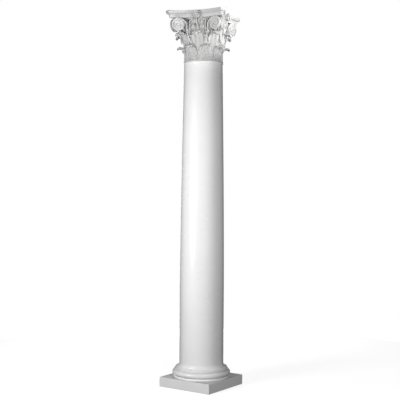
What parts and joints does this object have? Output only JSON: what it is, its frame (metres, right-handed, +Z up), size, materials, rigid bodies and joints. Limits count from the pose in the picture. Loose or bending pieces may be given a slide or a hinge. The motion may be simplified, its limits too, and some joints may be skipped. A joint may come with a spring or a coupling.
{
  "type": "round column",
  "caption": "Tall smooth round column on a square plinth, with a turned base, a gently tapering hollow shaft and a leafy scrolled capital, standing by its own weight",
  "frame": {"origin": "centre of the plinth's underside, on the floor", "axes": "+Z up the column's axis; X and Y along the plinth's sides; the capital is turned 17.8 degrees about +Z against the plinth, as pictured"},
  "size_m": [0.4938, 0.4938, 2.438],
  "materials": {
    "white_gloss": "smooth glossy white paint on a moulded shell",
    "white_matt": "matt white, cast and moulded"
  },
  "bodies": {
    "root": {"plinth": "white_matt", "base": "white_gloss", "shaft": "white_gloss", "capital": "white_matt"}
  },
  "joints": []
}
